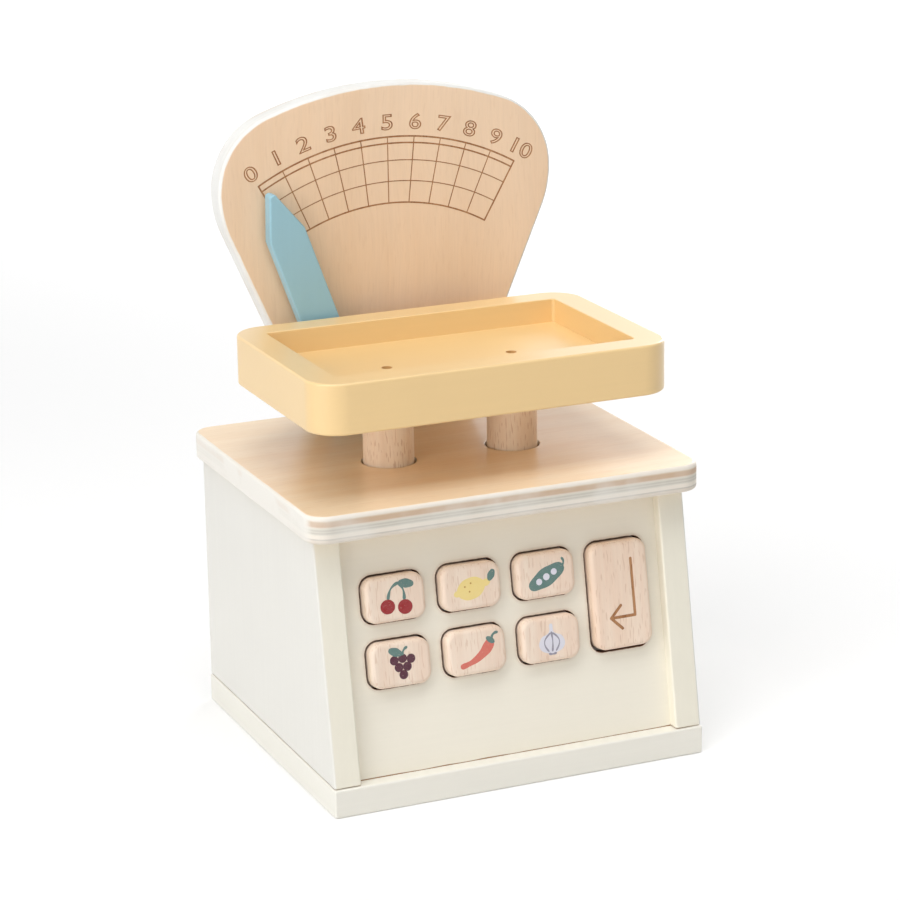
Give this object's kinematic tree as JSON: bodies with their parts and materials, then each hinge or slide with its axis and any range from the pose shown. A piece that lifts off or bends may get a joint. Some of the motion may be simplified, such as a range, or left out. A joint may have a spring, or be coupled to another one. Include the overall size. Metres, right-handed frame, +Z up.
{
  "type": "toy balance scale",
  "caption": "Wooden toy weighing scale with a sprung tray on two posts, a pointer that swings over an upright dial, and push keys on a sloping cabinet front.",
  "frame": {"origin": "centre of the base board's underside", "axes": "+X to the right of someone facing the keys, +Y to the back, +Z up"},
  "size_m": [0.1794, 0.1576, 0.2791],
  "materials": {
    "cream_paint": "matte cream-white paint on plywood",
    "yellow_paint": "matte warm yellow paint on solid wood",
    "blue_paint": "matte dusty blue paint on plywood",
    "birch_plywood": "sanded, clear matte varnish",
    "beech": "sanded, clear matte varnish",
    "zinc_steel": "zinc plated",
    "bright_steel": "plain bright steel",
    "white_plastic": "moulded"
  },
  "bodies": {
    "cabinet": {"base_board": "cream_paint", "left_side_panel": "cream_paint", "right_side_panel": "cream_paint", "front_panel": "cream_paint", "rear_panel": "cream_paint", "top_board": "birch_plywood", "dial_board": "birch_plywood", "guide_board": "birch_plywood", "key_backing_board": "birch_plywood", "key_battens": "beech", "base_screws": "zinc_steel", "top_dowels": "beech", "dial_screws": "zinc_steel", "backing_screws": "zinc_steel", "spring_pegs": "beech", "pivot_screw": "bright_steel", "pivot_washer": "white_plastic", "pan_springs": "bright_steel", "key_1_spring": "bright_steel", "key_2_spring": "bright_steel", "key_3_spring": "bright_steel", "key_4_spring": "bright_steel", "key_5_spring": "bright_steel", "key_6_spring": "bright_steel", "tall_key_springs": "bright_steel"},
    "pan": {"tray": "yellow_paint", "left_post": "beech", "right_post": "beech", "carriage": "birch_plywood", "drive_plate": "birch_plywood", "tray_screws": "zinc_steel", "carriage_screws": "zinc_steel", "drive_plate_screws": "zinc_steel", "post_pegs": "beech"},
    "swinging_pointer": {"pointer": "blue_paint", "crank_pin": "bright_steel"},
    "key_1_body": {"key_1": "beech", "key_1_retainer": "white_plastic"},
    "key_2_body": {"key_2": "beech", "key_2_retainer": "white_plastic"},
    "key_3_body": {"key_3": "beech", "key_3_retainer": "white_plastic"},
    "key_4_body": {"key_4": "beech", "key_4_retainer": "white_plastic"},
    "key_5_body": {"key_5": "beech", "key_5_retainer": "white_plastic"},
    "key_6_body": {"key_6": "beech", "key_6_retainer": "white_plastic"},
    "tall_key_body": {"tall_key": "beech", "tall_key_retainer": "white_plastic"}
  },
  "joints": [
    {"name": "pan_slide", "type": "slide", "parent": "cabinet", "child": "pan", "axis": [0, 0, -1], "range_m": [0, 0.0135], "stiffness_N_per_m": 600, "springref_m": -0.007, "deforming": ["pan_springs"]},
    {"name": "pointer_swing", "type": "hinge", "parent": "cabinet", "child": "swinging_pointer", "pos_m": [0, 0.0542, 0.0755], "axis": [0, 1, 0], "range_deg": [0, 39.5]},
    {"name": "key_1_press", "type": "slide", "parent": "cabinet", "child": "key_1_body", "axis": [0, 0.9842, -0.177], "range_m": [0, 0.003], "stiffness_N_per_m": 300, "springref_m": -0.003, "deforming": ["key_1_spring"]},
    {"name": "key_2_press", "type": "slide", "parent": "cabinet", "child": "key_2_body", "axis": [0, 0.9842, -0.177], "range_m": [0, 0.003], "stiffness_N_per_m": 300, "springref_m": -0.003, "deforming": ["key_2_spring"]},
    {"name": "key_3_press", "type": "slide", "parent": "cabinet", "child": "key_3_body", "axis": [0, 0.9842, -0.177], "range_m": [0, 0.003], "stiffness_N_per_m": 300, "springref_m": -0.003, "deforming": ["key_3_spring"]},
    {"name": "key_4_press", "type": "slide", "parent": "cabinet", "child": "key_4_body", "axis": [0, 0.9842, -0.177], "range_m": [0, 0.003], "stiffness_N_per_m": 300, "springref_m": -0.003, "deforming": ["key_4_spring"]},
    {"name": "key_5_press", "type": "slide", "parent": "cabinet", "child": "key_5_body", "axis": [0, 0.9842, -0.177], "range_m": [0, 0.003], "stiffness_N_per_m": 300, "springref_m": -0.003, "deforming": ["key_5_spring"]},
    {"name": "key_6_press", "type": "slide", "parent": "cabinet", "child": "key_6_body", "axis": [0, 0.9842, -0.177], "range_m": [0, 0.003], "stiffness_N_per_m": 300, "springref_m": -0.003, "deforming": ["key_6_spring"]},
    {"name": "tall_key_press", "type": "slide", "parent": "cabinet", "child": "tall_key_body", "axis": [0, 0.9842, -0.177], "range_m": [0, 0.003], "stiffness_N_per_m": 500, "springref_m": -0.003, "deforming": ["tall_key_springs"]}
  ],
  "couplings": [
    {"joint": "pointer_swing", "follows": "pan_slide", "rad_per_m": 51.067}
  ]
}
